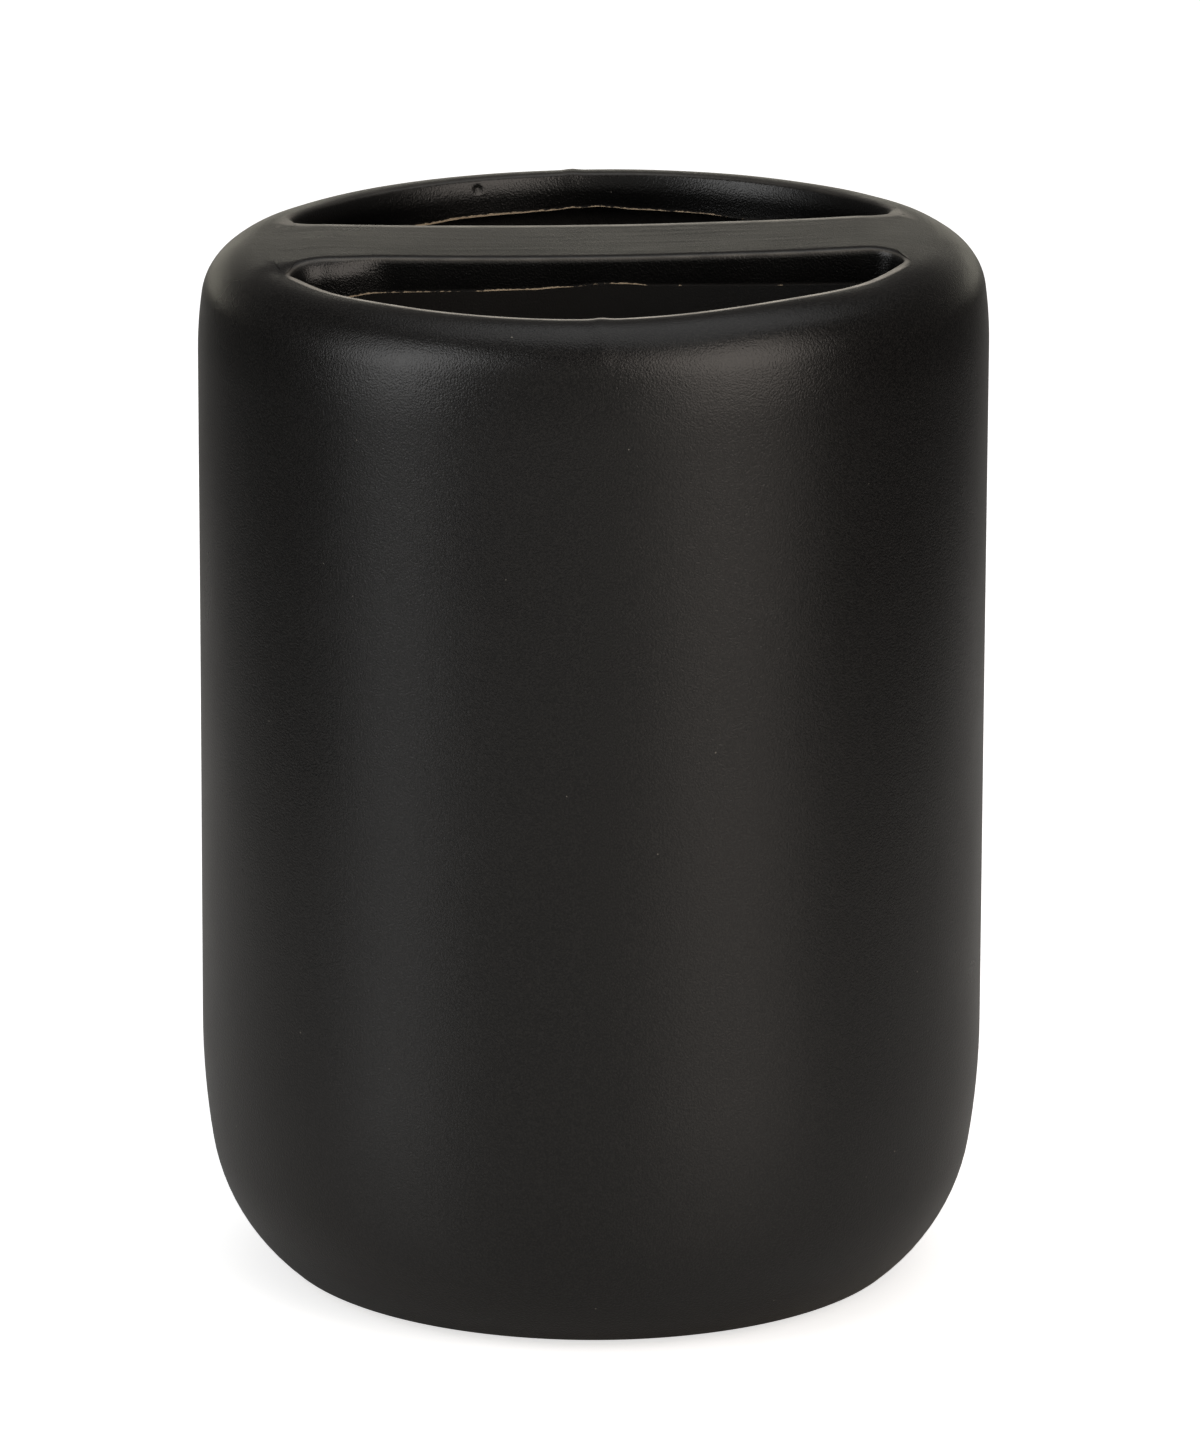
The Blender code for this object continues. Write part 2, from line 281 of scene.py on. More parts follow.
for side in (1, -1):
    select_where(
        cup,
        lambda co: near(co.z, RIM_Z)
        and co.x * side > 0
        and (
            (near(co.x * side, CORNER_X) and abs(co.y) < bridge_side_y + SLACK)
            or (
                near(co.xy.length, RIDGE_RADIUS)
                and abs(math.atan2(co.y, co.x * side)) < land_turn + 2 * turn_slack
            )
        ),
    )
    bpy.ops.mesh.fill_grid()
mesh = bmesh.from_edit_mesh(cup.data)
bpy.ops.mesh.select_all(action="DESELECT")
for edge in mesh.edges:
    edge.select_set(all(near(vert.co.z, LIP_Z) for vert in edge.verts) and edge.is_boundary)
bmesh.update_edit_mesh(cup.data)
bpy.ops.mesh.fill()
bpy.ops.mesh.select_all(action="SELECT")
bpy.ops.mesh.remove_doubles(threshold=SLACK / 10)
bpy.ops.mesh.normals_make_consistent(inside=False)
bpy.ops.object.mode_set(mode="OBJECT")

# A pit in the glaze on the back lip, left by a bubble, needs a finer patch of mesh.
PIT = Vector((-11.1 * MM, 30.6 * MM, 105.75 * MM))
PIT_RADIUS = 0.75 * MM
PIT_DEPTH = 0.16 * MM
PIT_CUTS = 4
bpy.ops.object.mode_set(mode="EDIT")
bpy.ops.mesh.select_mode(type="FACE")
bpy.ops.mesh.select_all(action="DESELECT")
mesh = bmesh.from_edit_mesh(cup.data)
for face in mesh.faces:
    face.select_set((face.calc_center_median() - PIT).length < 2 * PIT_RADIUS)
bmesh.update_edit_mesh(cup.data)
bpy.ops.mesh.subdivide(number_cuts=PIT_CUTS)
bpy.ops.object.mode_set(mode="OBJECT")


# What the knife and the kiln did to the drawn shape. From here to the end of the loop over the vertices,
# places and heights are in millimetres. X runs along the bridge, and -Y is the front.
rim, face_start, lip_low = RIM_Z / MM, face_top / MM, LIP_Z / MM
slack = SLACK / MM
LIP_REACH = EDGE_WIDTH / MM + 0.05  # places with less grow than this are on a rolled edge or a lip
NO_LIP = 9  # the grow of a place below the lips
FADE_Z = 30  # the wall is as drawn up to this height
RIM_REACH = 34  # the tilt and the dips are given this far from the axis
RIM_TILT = 0.42
FRONT_DIP = 0.42
BACK_DIP = 0.06
SWELL = 0.4  # the rim stands higher in one place at the right of the front
SWELL_TURN = -60  # degrees
SWELL_SPREAD = 17  # degrees
BRIDGE_REACH = 27
BRIDGE_MIDDLE = 0.11  # how far the middle of the bridge stands up
BRIDGE_SAG = 0.5  # how much more its ends do
LOW_POINT = 0.36  # how far the front slot's left point lies below the rest
CAST_WAVE = 0.035  # a slow unevenness of the casting's top
CAST_WAVE_LENGTH = 9
SPONGE_MARK = 0.014  # fine streaks along the bridge, from the sponge that wiped the casting
SPONGE_LENGTH = 9
SPONGE_WIDTH = 0.9
SEAM = 0.12  # how far the mould's seam stands up across the rim
SEAM_WIDTH = 0.75
SEAM_X = {"front": -0.3, "back": -1.3}
UNEVEN = 0.0012  # how much the wall's radius varies, as a share of it
UNEVEN_WIDTH = 24
UNEVEN_HEIGHT = 40


def fade(value, start, end):
    """Nought before the start, one beyond the end, and a smooth change between them."""
    t = min(max((value - start) / (end - start), 0), 1)
    return t * t * (3 - 2 * t)


def value_at(places, x):
    """The value at x on a smooth line through places (x, value)."""
    for (x0, value0), (x1, value1) in zip(places, places[1:]):
        if x < x1:
            return value0 + (value1 - value0) * fade(x, x0, x1)
    return places[-1][1]


def end_of(y):
    """Which slot and which half of the cup a place belongs to."""
    return "front" if y < 0 else "back"


def round_share(y):
    """Nought on the side of a slot that lies along the bridge, and one on its round side."""
    return fade(abs(y), 9, 16)


def slot_grow(x, y):
    """How far a place is outside the lip's face of the slot that it is nearest to."""
    along, across = abs(x) - CORNER_X / MM, abs(y) - CORNER_Y / MM
    if along <= 0 and across <= 0:
        return -across - CORNER_RADIUS / MM
    if along > 0 and across <= along * math.tan(math.radians(LEAN)):
        return math.hypot(along, across) - CORNER_RADIUS / MM
    return math.hypot(x, y) - SLOT_RADIUS / MM


def rise(x, y):
    """How far the fired rim and bridge stand above the drawn flat top."""
    reach = math.hypot(x, y)
    turn = math.degrees(math.atan2(y, x))
    tilt = RIM_TILT * x / RIM_REACH
    dip = (FRONT_DIP if y < 0 else BACK_DIP) * (y / RIM_REACH) ** 2
    swell = SWELL * math.exp(-(((turn - SWELL_TURN) / SWELL_SPREAD) ** 2)) * fade(reach, 20, 30)
    bridge = BRIDGE_MIDDLE + BRIDGE_SAG * min(abs(x) / BRIDGE_REACH, 1) ** 2
    bridge *= fade(abs(x), BRIDGE_REACH + 9, BRIDGE_REACH) * fade(abs(y), 22, 8)
    low_point = LOW_POINT * fade(turn, -124, -152) * fade(y, -7.5, -11.5) * fade(slot_grow(x, y), 4.5, 0.3)
    return tilt - dip + swell + bridge - low_point


# Where the knife cut each lip off: places (x, height of the cut) along the bridge's sides and round sides.
cut_edges = {
    "bridge_front": ((-26, 103.15), (-22, 103.45), (-13, 103.55), (-6.5, 103.7), (-3, 103.95), (1, 104.3))
    + ((3, 104.25), (6, 104.05), (15, 104.05), (24, 104.1)),
    "bridge_back": ((-25, 103.5), (-9, 103.75), (4, 103.6), (14, 103.85), (25, 103.6)),
    "rim_back": ((-17, 102.5), (-12, 102.78), (-7, 102.9), (-4, 103.05), (-1, 103.3), (1.6, 103.45))
    + ((3, 103.37), (5, 103.2), (12, 103.15), (16, 103.0), (24, 103.3)),
    "rim_front": ((-26, 103.2), (-12, 102.9), (3, 103.15), (13, 102.95), (24, 103.3)),
}
# How bare of glaze each cut is: from about 0.6 on, the clay shows, first in patches and then all along.
bare_edges = {
    "bridge_front": ((-27, 1.1), (-20, 0.8), (-13, 0.62), (-9, 1.0), (-4, 1.1), (-1, 0.6), (1, 0.62))
    + ((2.4, 1.2), (4.4, 1.0), (5.6, 0.45), (8, 0.3), (8.5, 0.75), (9.1, 0.3), (15, 0.3), (15.5, 0.68))
    + ((16, 0.3), (17.8, 0.3), (18.4, 0.85), (19, 0.3), (21.6, 0.6), (22.2, 0.3), (24, 0.5), (27, 0.5)),
    "bridge_back": ((-25, 0.7), (25, 0.9)),
    "rim_back": ((-17, 1.1), (-12, 1.35), (-6, 1.15), (-2, 0.95), (0, 0.72), (1.5, 0.9), (3.5, 0.72))
    + ((6, 0.95), (9, 0.72), (12, 0.8), (17, 0.5)),
    "rim_front": ((-17, 1.0), (17, 0.9)),
}
# How pale each rolled edge is painted, partly for glaze that thinned so that clay shows through it and partly
# as a painted highlight: how much, and between which distances from the lip's face.
thinned_and_highlight_edges = {
    "bridge_front": (0.22, 0.25, 0.65),
    "bridge_back": (0.55, 0.4, 2.0),
    "rim_front": (1.0, 0.3, 1.6),
    "rim_back": (0.05, 0.3, 1.4),
}


def along_edge(lines, x, y):
    """The value at a place on a slot's edge, from the lines for its side at the bridge and its round side."""
    straight_side = value_at(lines["bridge_" + end_of(y)], x)
    round_side = value_at(lines["rim_" + end_of(y)], x)
    return straight_side + (round_side - straight_side) * round_share(y)


glaze_marks = ("bare_clay", "inside_painted_light", "lip_painted_shade", "thinned_glaze_and_highlight")
for name in glaze_marks:
    cup.data.attributes.new(name, "FLOAT", "POINT")
bare, inside_light, lip_shade, thinned_and_highlight = [cup.data.attributes[name] for name in glaze_marks]
BARE = 1.5  # bare all over
WIPED = 1.2  # bare but for a trace of glaze
WIPED_Z = 0.02  # how far up the foot ring is wiped
THIN_PATCH = 2.5  # how long the patches are in which the glaze ran thinner


def mark_glaze(number, x, y, z, grow):
    """Says how the glaze lies at a vertex: cut or wiped off, painted light inside, painted shade on a lip, or
    thinned with a painted highlight on an edge.
    """
    reach = math.hypot(x, y)
    # The front of the cut edge is bare in places, and the rest of it is bare all over.
    if grow < LIP_REACH and z < lip_low + slack:
        bare.data[number].value = along_edge(bare_edges, x, y) if grow < 0.1 else BARE
    if z < FOOT_Z / MM + WIPED_Z and reach > recess_radius / MM - 0.1:
        bare.data[number].value = WIPED
    # The inside. In the heel, where the cup narrows, its surface is told from the outer one by its reach.
    inside_reach = 35.5 if z < 12 else inner_radius / MM + 0.05
    # The inside is painted greyer: painted light for what comes in through the slots.
    if floor_z / MM - 0.05 < z < lip_low + slack and reach < inside_reach:
        inside_light.data[number].value = 1
    # The lips' faces are painted darker further down under the rolled edge: painted shade.
    if grow < LIP_REACH and lip_low + slack < z < rim:
        lip_shade.data[number].value = fade(z, rim - 0.2, rim - 0.7)
    # Pale edges: partly thinned glaze, partly a painted highlight along the rolled edge.
    if grow < 2.1 and z > face_start - slack:
        straight_side, round_side = thinned_and_highlight_edges["bridge_" + end_of(y)], thinned_and_highlight_edges["rim_" + end_of(y)]
        share = round_share(y)
        amount, near_lip, far = [a + (b - a) * share for a, b in zip(straight_side, round_side)]
        amount *= fade(grow, near_lip, near_lip + 0.2) * fade(grow, far, far - 0.3)
        amount *= 1 - 0.3 * fade(abs(x), 25, 29)
        patchy = 0.82 + 0.4 * noise.noise(Vector((x / THIN_PATCH, y / THIN_PATCH, 7)))
        thinned_and_highlight.data[number].value = amount * patchy


FLAT_FACE = 0.27  # how far the bridge's flat faces stand back from the drawn one
FULL_LIP_RADIUS = 2.3  # the round of the full lip that the front slot's left end kept
FULL_LIP_START = math.radians(55)  # how steeply it faces up where it leaves the edge
FULL_LIP_TOP = 0.16  # how far below the rim that is
FULL_LIP_GROW = 0.5  # and how far outside the lip's face
FULL_LIP_SWING = 1.1  # how far the slot's side swings away from the bridge there, in towards its point


def knife_shift(x, y, z, grow):
    """How far towards the middle of the bridge the trimmed side of a slot lies from the drawn one."""
    shift = 0
    if z > lip_low - slack and y < 0:
        shift -= FULL_LIP_SWING * fade(x, -21, -29) * fade(grow, 5.5, EDGE_WIDTH / MM)
    if grow < LIP_REACH and not (z < lip_low + slack and grow > 1):
        full = fade(x, -20, -27) * (y < 0)
        if z < face_start - slack:
            shift += max(FLAT_FACE - grow, 0) * (1 - full)
        if rim - z > FULL_LIP_TOP:
            above_centre = max(FULL_LIP_TOP + FULL_LIP_RADIUS * math.sin(FULL_LIP_START) - (rim - z), 0)
            outwards = math.sqrt(FULL_LIP_RADIUS**2 - above_centre**2)
            outwards -= FULL_LIP_RADIUS * math.cos(FULL_LIP_START)
            shift -= max(grow - FULL_LIP_GROW + outwards, 0) * full
    return shift * (1 - round_share(y))


def fired_height(x, y, z, grow):
    """How high a place stands after trimming and firing."""
    reach = math.hypot(x, y)
    height = z
    if z > FADE_Z:
        height += rise(x, y) * (min((z - FADE_Z) / (rim - FADE_Z), 1) if reach > RIM_REACH else 1)
    if grow < LIP_REACH and z < face_start - slack:
        top = face_start + rise(x, y)
        height = top + (along_edge(cut_edges, x, y) - top) * (face_start - z) / (face_start - lip_low)
    if z > 60 and reach > 30 and abs(y) > 20:
        height += SEAM * math.exp(-(((x - SEAM_X[end_of(y)]) / SEAM_WIDTH) ** 2)) * fade(z, rim - 5, rim - 1)
    if z > rim - 0.05 and abs(y) < 7:
        height += SPONGE_MARK * noise.noise(Vector((x / SPONGE_LENGTH, y / SPONGE_WIDTH, 3)))
    return height


for vert in cup.data.vertices:
    x, y, z = vert.co / MM
    grow = slot_grow(x, y) if z > lip_low - slack else NO_LIP
    mark_glaze(vert.index, x, y, z, grow)
    vert.co.y -= math.copysign(MM, y) * knife_shift(x, y, z, grow)
    height = fired_height(x, y, z, grow)
    # The casting's top and its wall are a little uneven, and a bubble left a pit in the glaze.
    if z > 100:
        height += CAST_WAVE * noise.noise(vert.co / (CAST_WAVE_LENGTH * MM))
    vert.co.z = height * MM
    if math.hypot(x, y) > 30 and 4 < z < 104:
        uneven = 1 + UNEVEN * noise.noise(Vector((x / UNEVEN_WIDTH, y / UNEVEN_WIDTH, z / UNEVEN_HEIGHT)))
        vert.co.x *= uneven
        vert.co.y *= uneven
    away = (vert.co - PIT).length
    if away < PIT_RADIUS:
        outwards = vert.co.xy.normalized() * PIT_DEPTH * fade(away, PIT_RADIUS, 0)
        vert.co.x += outwards.x
        vert.co.y += outwards.y
bpy.ops.object.select_all(action="DESELECT")
cup.select_set(True)
bpy.context.view_layer.objects.active = cup
SHARP_EDGE = math.radians(42)  # the lips' cut edges and the recess are sharper than this
bpy.ops.object.shade_smooth_by_angle(angle=SHARP_EDGE)


def from_hex(text):
    """A colour for a shader: sRGB hex turned to linear."""
    parts = [int(text[i : i + 2], 16) / 255 for i in (1, 3, 5)]
    return (*[part / 12.92 if part <= 0.04045 else ((part + 0.055) / 1.055) ** 2.4 for part in parts], 1)


def add_node(tree, kind, inputs=None, **settings):
    """Adds a node with its settings, and fills its inputs with values or with other nodes' outputs."""
    node = tree.nodes.new(kind)
    for name, value in settings.items():
        setattr(node, name, value)
    for name, value in (inputs or {}).items():
        if isinstance(value, bpy.types.NodeSocket):
            tree.links.new(value, node.inputs[name])
        else:
            node.inputs[name].default_value = value
    return node


# Satin black glaze, dipped and fired on earthenware: near black and a little warm, with soft wide highlights
# that break up into fine grain, faint cloudiness, and a few pale specks of kiln dust. Inside it is painted
# greyer, as painted light for what comes in through the slots. Down the lips' faces it is painted blacker, as
# painted shade under the rolled edges. On those edges it is paler, partly where the glaze thinned and partly
# as a painted highlight. Where it was cut or wiped off, pale tan clay shows with a ragged line.
GRAIN = 0.2 * MM  # the real grain is about 0.1 mm, drawn coarser so that it shows in the highlights
GRAIN_BUMP = 0.045 * MM
CLOUDS = 14 * MM
RAGGED = 0.5 * MM
DUST_SPACING = 3.0 * MM
DUST_MIDDLE = 0.02  # the radius of a speck's middle, as a share of the spacing
DUST_RADIUS = 0.035  # and of its faded edge
DUST_FREE = 0.62  # the share of the places that stay free of dust
glaze = bpy.data.materials.new("satin_black_glaze_on_earthenware")
glaze.use_nodes = True
tree = glaze.node_tree
shader = tree.nodes["Principled BSDF"]
place = add_node(tree, "ShaderNodeTexCoord").outputs["Object"]
grain = add_node(
    tree, "ShaderNodeTexNoise", {"Vector": place, "Scale": 1 / GRAIN, "Detail": 1, "Roughness": 0.6}
)
clouds = add_node(
    tree, "ShaderNodeTexNoise", {"Vector": place, "Scale": 1 / CLOUDS, "Detail": 3, "Roughness": 0.5}
)
ragged = add_node(tree, "ShaderNodeTexNoise", {"Vector": place, "Scale": 1 / RAGGED, "Detail": 3})
bare_share = add_node(tree, "ShaderNodeAttribute", attribute_name="bare_clay")
mask_depth = add_node(
    tree,
    "ShaderNodeMath",
    {0: bare_share.outputs["Fac"], 1: ragged.outputs["Fac"]},
    operation="ADD",
)
mask = add_node(
    tree,
    "ShaderNodeMapRange",
    {"Value": mask_depth.outputs[0], "From Min": 1.09, "From Max": 1.25, "To Min": 0, "To Max": 1},
)
dust_cells = add_node(tree, "ShaderNodeTexVoronoi", {"Vector": place, "Scale": 1 / DUST_SPACING})
dust_away = dust_cells.outputs["Distance"]
dust_spot = add_node(
    tree,
    "ShaderNodeMapRange",
    {"Value": dust_away, "From Min": DUST_MIDDLE, "From Max": DUST_RADIUS, "To Min": 1, "To Max": 0},
)
dust_pick = add_node(tree, "ShaderNodeSeparateColor", {"Color": dust_cells.outputs["Color"]})
dust_some = add_node(
    tree,
    "ShaderNodeMath",
    {0: dust_pick.outputs["Red"], 1: DUST_FREE},
    operation="GREATER_THAN",
)
dust = add_node(
    tree,
    "ShaderNodeMath",
    {0: dust_spot.outputs[0], 1: dust_some.outputs[0]},
    operation="MULTIPLY",
)
cloudy = add_node(
    tree,
    "ShaderNodeMix",
    {"Factor": clouds.outputs["Fac"], "A": from_hex("#020202"), "B": from_hex("#060505")},
    data_type="RGBA",
)
crystals = add_node(
    tree,
    "ShaderNodeMapRange",
    {"Value": grain.outputs["Fac"], "From Min": 0.4, "From Max": 0.68, "To Min": 0, "To Max": 1},
)
grainy = add_node(
    tree,
    "ShaderNodeMix",
    {"Factor": crystals.outputs[0], "A": cloudy.outputs["Result"], "B": from_hex("#1a1918")},
    data_type="RGBA",
)
# Painted light: the inside is painted greyer for the light that comes in through the slots.
inside_light_share = add_node(tree, "ShaderNodeAttribute", attribute_name="inside_painted_light")
painted_inside_light = add_node(
    tree,
    "ShaderNodeMix",
    {"Factor": inside_light_share.outputs["Fac"], "A": grainy.outputs["Result"], "B": from_hex("#2b2a29")},
    data_type="RGBA",
)
# Painted shade: the lips' faces turn blacker further down under their rolled edges.
lip_shade_share = add_node(tree, "ShaderNodeAttribute", attribute_name="lip_painted_shade")
painted_lip_shade = add_node(
    tree,
    "ShaderNodeMix",
    {"Factor": lip_shade_share.outputs["Fac"], "A": painted_inside_light.outputs["Result"], "B": from_hex("#020202")},
    data_type="RGBA",
)
# Partly thinned glaze and partly a painted highlight: the rolled edges turn paler.
thinned_and_highlight_share = add_node(tree, "ShaderNodeAttribute", attribute_name="thinned_glaze_and_highlight")
thinned_glaze_and_painted_highlight = add_node(
    tree,
    "ShaderNodeMix",
    {"Factor": thinned_and_highlight_share.outputs["Fac"], "A": painted_lip_shade.outputs["Result"], "B": from_hex("#c2bcb2")},
    data_type="RGBA",
)
dusty = add_node(
    tree,
    "ShaderNodeMix",
    {"Factor": dust.outputs[0], "A": thinned_glaze_and_painted_highlight.outputs["Result"], "B": from_hex("#6f6b64")},
    data_type="RGBA",
)
clay = add_node(
    tree,
    "ShaderNodeMix",
    {"Factor": ragged.outputs["Fac"], "A": from_hex("#937f69"), "B": from_hex("#bfae94")},
    data_type="RGBA",
)
colour = add_node(
    tree,
    "ShaderNodeMix",
    {"Factor": mask.outputs[0], "A": dusty.outputs["Result"], "B": clay.outputs["Result"]},
    data_type="RGBA",
)
tree.links.new(colour.outputs["Result"], shader.inputs["Base Color"])
satin = add_node(
    tree,
    "ShaderNodeMapRange",
    {"Value": clouds.outputs["Fac"], "From Min": 0.3, "From Max": 0.7, "To Min": 0.27, "To Max": 0.33},
)
roughness = add_node(
    tree,
    "ShaderNodeMix",
    {"Factor": mask.outputs[0], "A": satin.outputs[0], "B": 0.9},
    data_type="FLOAT",
)
tree.links.new(roughness.outputs["Result"], shader.inputs["Roughness"])
bump = add_node(
    tree,
    "ShaderNodeBump",
    {"Strength": 0.8, "Distance": GRAIN_BUMP, "Height": grain.outputs["Fac"]},
)
tree.links.new(bump.outputs["Normal"], shader.inputs["Normal"])
cup.data.materials.clear()
cup.data.materials.append(glaze)
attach(cup, "root")
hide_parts("cup_body")


# Four self-adhesive bumpers of clear silicone keep the bare foot ring off the shelf. Each is a moulded disc
# with a rounded foot and a shallow dish under it, stuck in the recess of the underside by a thin disc of
# adhesive.
BUMPER_RADIUS = 4.5 * MM
BUMPER_EDGE = 0.9 * MM
FLASH_EDGE = 0.15 * MM
ADHESIVE_INSET = 0.35 * MM
ADHESIVE = 0.28 * MM
DISH_INSET = 0.9 * MM
DISH_DEPTH = 0.06 * MM

# Clear silicone rubber, moulded in a polished mould: milky white and faintly see-through, with a soft sheen.
MILK = 3 * MM
silicone = bpy.data.materials.new("moulded_clear_silicone")
silicone.use_nodes = True
tree = silicone.node_tree
shader = tree.nodes["Principled BSDF"]
place = add_node(tree, "ShaderNodeTexCoord").outputs["Object"]
milk = add_node(tree, "ShaderNodeTexNoise", {"Vector": place, "Scale": 1 / MILK, "Detail": 2})
milky = add_node(
    tree,
    "ShaderNodeMix",
    {"Factor": milk.outputs["Fac"], "A": from_hex("#a9a8a2"), "B": from_hex("#bcbbb6")},
    data_type="RGBA",
)
tree.links.new(milky.outputs["Result"], shader.inputs["Base Color"])
shader.inputs["Roughness"].default_value = 0.35
shader.inputs["IOR"].default_value = 1.41
shader.inputs["Subsurface Weight"].default_value = 0.3
shader.inputs["Subsurface Radius"].default_value = (1, 1, 1)
shader.inputs["Subsurface Scale"].default_value = 0.8 * MM

for number in range(1, 5):
    low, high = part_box(f"bumper_{number}")
    middle = (low + high) / 2
    if number == 1:
        bpy.ops.object.select_all(action="DESELECT")
        bpy.ops.mesh.primitive_cylinder_add(
            vertices=64, radius=BUMPER_RADIUS, depth=high.z - low.z, location=middle, enter_editmode=True
        )
        first = bpy.context.object
        bpy.ops.object.mode_set(mode="OBJECT")
        bpy.ops.object.transform_apply(location=True, rotation=False, scale=False)
        bpy.ops.object.mode_set(mode="EDIT")
        for face_z, edge, segments in ((low.z, BUMPER_EDGE, 6), (high.z, FLASH_EDGE, 2)):
            select_where(first, lambda co: near(co.z, face_z))
            bpy.ops.mesh.bevel(offset=edge, segments=segments, profile=0.5, affect="EDGES")
        for face_z, inset, step in ((low.z, DISH_INSET, DISH_DEPTH), (high.z, ADHESIVE_INSET, ADHESIVE)):
            bpy.ops.mesh.select_mode(type="FACE")
            bpy.ops.mesh.select_all(action="DESELECT")
            mesh = bmesh.from_edit_mesh(first.data)
            for face in mesh.faces:
                face.select_set(all(near(vert.co.z, face_z) for vert in face.verts))
            bmesh.update_edit_mesh(first.data)
            bpy.ops.mesh.inset(thickness=inset)
            bpy.ops.mesh.extrude_region_move(TRANSFORM_OT_translate={"value": (0, 0, step)})
        bpy.ops.object.mode_set(mode="OBJECT")
        bpy.ops.object.shade_smooth_by_angle(angle=math.radians(30))
        bumper, first_middle = first, middle
    else:
        bumper = first.copy()
        bumper.data = first.data.copy()
        bpy.context.collection.objects.link(bumper)
        bumper.data.transform(Matrix.Translation(middle - first_middle))
    bumper.name = f"silicone_bumper_{number}"
    bumper.data.materials.clear()
    bumper.data.materials.append(silicone)
    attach(bumper, "root")
    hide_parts(f"bumper_{number}")


# The studio: a pale floor that looks white to the camera and mid grey in the glaze, as the sweep does in the
# photograph, tall softboxes at the left and right of the camera, a soft light overhead, and a wide bounce
# from the ceiling that lights the cup evenly without showing in its glaze.
FLOOR_SIZE = 6.0
FLOOR_LIFT = 0.66  # the glow that lifts the floor to white for the camera
floor_look = bpy.data.materials.new("studio_floor")
floor_look.use_nodes = True
tree = floor_look.node_tree
shader = tree.nodes["Principled BSDF"]
seen = add_node(tree, "ShaderNodeLightPath").outputs["Is Camera Ray"]
place = add_node(tree, "ShaderNodeTexCoord").outputs["Object"]
spot = add_node(tree, "ShaderNodeSeparateXYZ", {"Vector": place})
# What the glaze mirrors of the floor changes its tone between these places, in millimetres from the axis.
table = None
for axis, start, end, beyond in (
    ("Y", 130, 340, "#989796"),
    ("Y", 350, 540, "#cccbc9"),
    ("X", 180, 300, "#4c4b4b"),
    ("X", -150, -300, "#5c5c5b"),
):
    edge = add_node(
        tree,
        "ShaderNodeMapRange",
        {"Value": spot.outputs[axis], "From Min": start * MM, "From Max": end * MM, "To Min": 0, "To Max": 1},
        interpolation_type="SMOOTHSTEP",
    )
    inner = table.outputs["Result"] if table else from_hex("#c3c2c0")
    table = add_node(
        tree,
        "ShaderNodeMix",
        {"Factor": edge.outputs[0], "A": inner, "B": from_hex(beyond)},
        data_type="RGBA",
    )
pale = add_node(
    tree,
    "ShaderNodeMix",
    {"Factor": seen, "A": table.outputs["Result"], "B": from_hex("#f8f8f8")},
    data_type="RGBA",
)
tree.links.new(pale.outputs["Result"], shader.inputs["Base Color"])
shader.inputs["Roughness"].default_value = 0.35
sheen = add_node(tree, "ShaderNodeMath", {0: 0.5, 1: seen}, operation="SUBTRACT", use_clamp=True)
tree.links.new(sheen.outputs[0], shader.inputs["Specular IOR Level"])
shader.inputs["Emission Color"].default_value = from_hex("#ffffff")
lift = add_node(tree, "ShaderNodeMath", {0: seen, 1: FLOOR_LIFT}, operation="MULTIPLY")
tree.links.new(lift.outputs[0], shader.inputs["Emission Strength"])
bpy.ops.object.select_all(action="DESELECT")
bpy.ops.mesh.primitive_plane_add(size=FLOOR_SIZE)
floor = bpy.context.object
floor.name = "studio_floor"
floor.data.materials.append(floor_look)

world = bpy.data.worlds.new("studio_world")
bpy.context.scene.world = world
world.use_nodes = True
tree = world.node_tree
background = tree.nodes["Background"]
seen = add_node(tree, "ShaderNodeLightPath").outputs["Is Camera Ray"]
way = add_node(
    tree, "ShaderNodeSeparateXYZ", {"Vector": add_node(tree, "ShaderNodeTexCoord").outputs["Generated"]}
)
# The room that the glaze mirrors: behind the cup a lit backdrop ends low, above it and at the sides the room
# is dim, and in front it is an even grey. The camera itself sees plain white.
room = from_hex("#fffae8")
for axis, start, end, beyond in (
    ("Z", 0.07, 0.16, "#86837d"),
    ("Z", 0.22, 0.34, "#565350"),
    ("Y", 0.93, 0.74, "#4a4846"),
    ("Y", -0.7, -0.9, "#8a8884"),
):
    band = add_node(
        tree,
        "ShaderNodeMapRange",
        {"Value": way.outputs[axis], "From Min": start, "From Max": end, "To Min": 0, "To Max": 1},
        interpolation_type="SMOOTHSTEP",
    )
    room = add_node(
        tree,
        "ShaderNodeMix",
        {"Factor": band.outputs[0], "A": room, "B": from_hex(beyond)},
        data_type="RGBA",
    ).outputs["Result"]
white = add_node(
    tree,
    "ShaderNodeMix",
    {"Factor": seen, "A": room, "B": from_hex("#ffffff")},
    data_type="RGBA",
)
tree.links.new(white.outputs["Result"], background.inputs["Color"])

LAMP_AIM_Z = 0.06


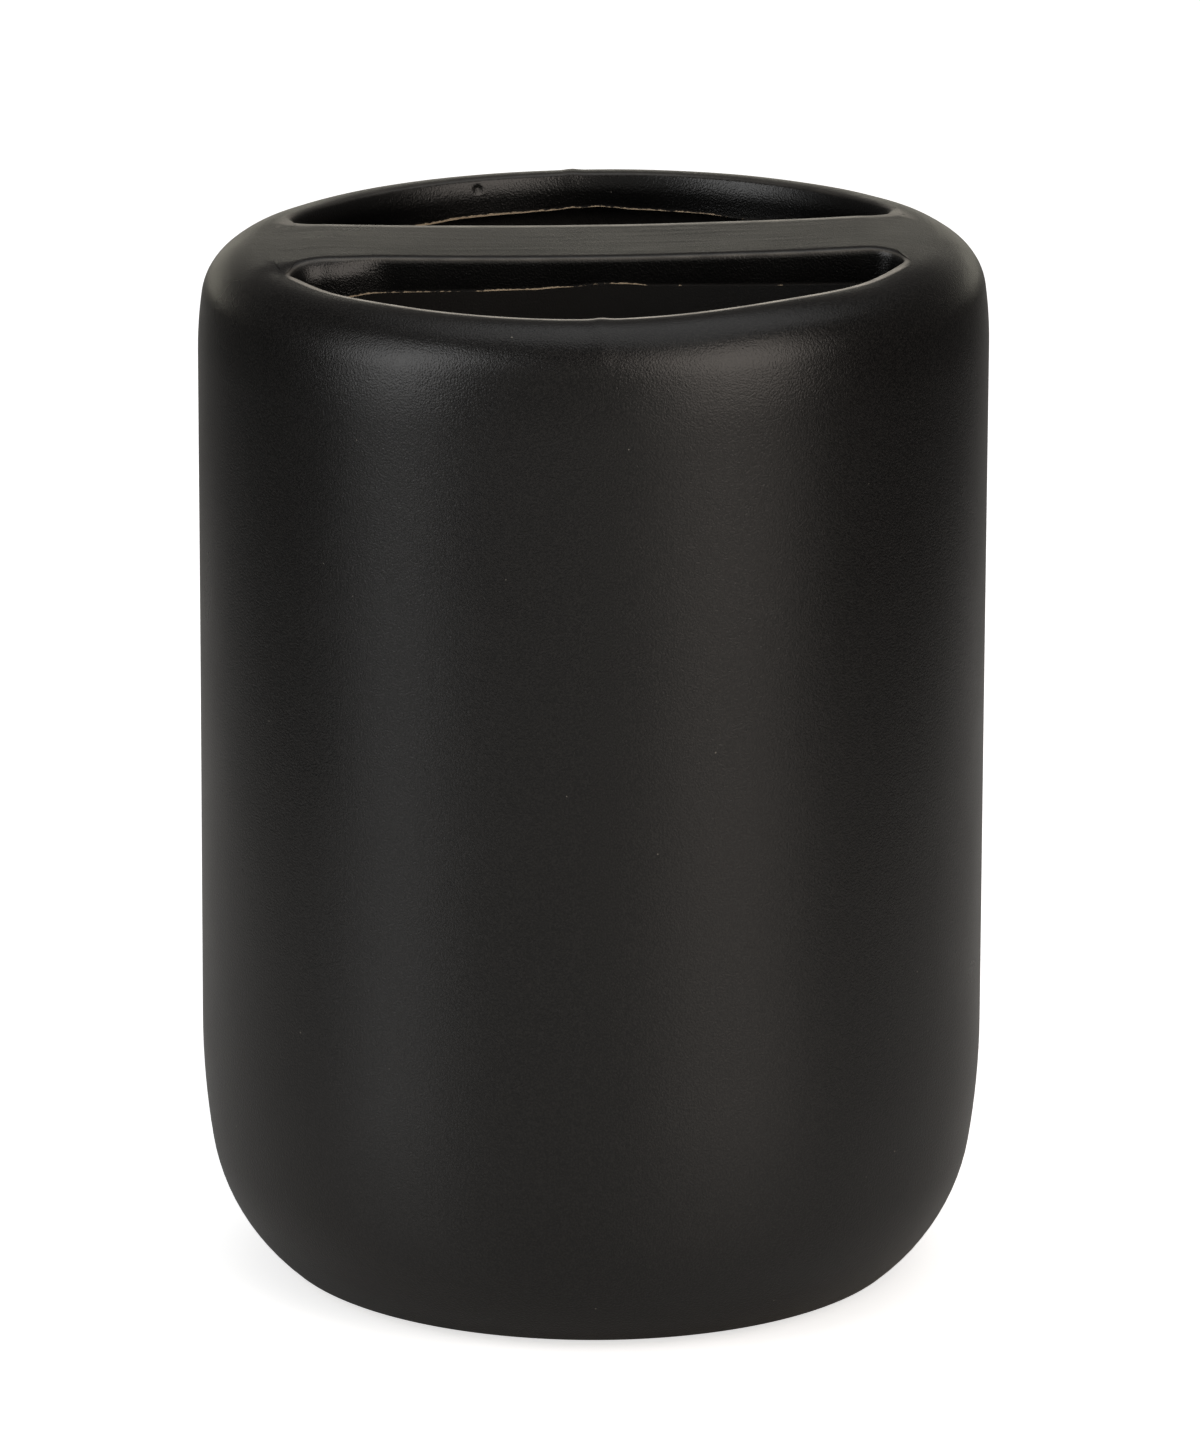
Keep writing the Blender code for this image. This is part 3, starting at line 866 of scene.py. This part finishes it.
def softbox(name, turn, height, distance, width, tall, power, colour="#ffffff"):
    """A panel light that faces the cup. The turn is in degrees from the cup's front, to the right."""
    panel = bpy.data.lights.new(name, "AREA")
    panel.shape = "RECTANGLE"
    panel.size = width
    panel.size_y = tall
    panel.energy = power
    panel.color = from_hex(colour)[:3]
    lamp = bpy.data.objects.new(name, panel)
    bpy.context.collection.objects.link(lamp)
    away = math.radians(turn)
    lamp.location = (distance * math.sin(away), -distance * math.cos(away), height)
    aim = Vector((0, 0, LAMP_AIM_Z)) - lamp.location
    lamp.rotation_euler = aim.to_track_quat("-Z", "Y").to_euler()
    lamp.visible_camera = False
    return lamp


softbox("softbox_left", turn=-59, height=0.37, distance=0.7, width=0.38, tall=0.72, power=2.25)
softbox(
    "softbox_right", turn=39, height=0.41, distance=0.7, width=0.54, tall=0.82, power=3.35, colour="#fff4ea"
)
softbox("softbox_overhead", turn=145, height=1.4, distance=0.27, width=1.35, tall=1.25, power=3.5)
ceiling = softbox("ceiling_bounce", turn=0, height=1.4, distance=0.05, width=2.4, tall=2.4, power=9.2)
ceiling.visible_glossy = False

# The camera stands a little to the left of the cup's front, so that the bridge's right end is farther away.
CAMERA_TURN = math.radians(-1.8)
CAMERA_RISE = math.radians(15.2)
CAMERA_ROLL = math.radians(0.2)
CAMERA_DISTANCE = 1.021
CAMERA_SIDESTEP = 0.78 * MM
CAMERA_AIM_Z = 56.98 * MM
camera_data = bpy.data.cameras.new("camera")
camera_data.lens = 250
camera_data.sensor_width = 36
camera = bpy.data.objects.new("camera", camera_data)
bpy.context.collection.objects.link(camera)
target = Vector((math.cos(CAMERA_TURN), math.sin(CAMERA_TURN), 0)) * CAMERA_SIDESTEP
target.z = CAMERA_AIM_Z
back = Vector(
    (
        math.sin(CAMERA_TURN) * math.cos(CAMERA_RISE),
        -math.cos(CAMERA_TURN) * math.cos(CAMERA_RISE),
        math.sin(CAMERA_RISE),
    )
)
camera.location = target + back * CAMERA_DISTANCE
roll_turn = Quaternion((0, 0, 1), CAMERA_ROLL)
camera.rotation_euler = ((-back).to_track_quat("-Z", "Y") @ roll_turn).to_euler()
bpy.context.scene.camera = camera
bpy.context.scene.view_settings.view_transform = "Standard"
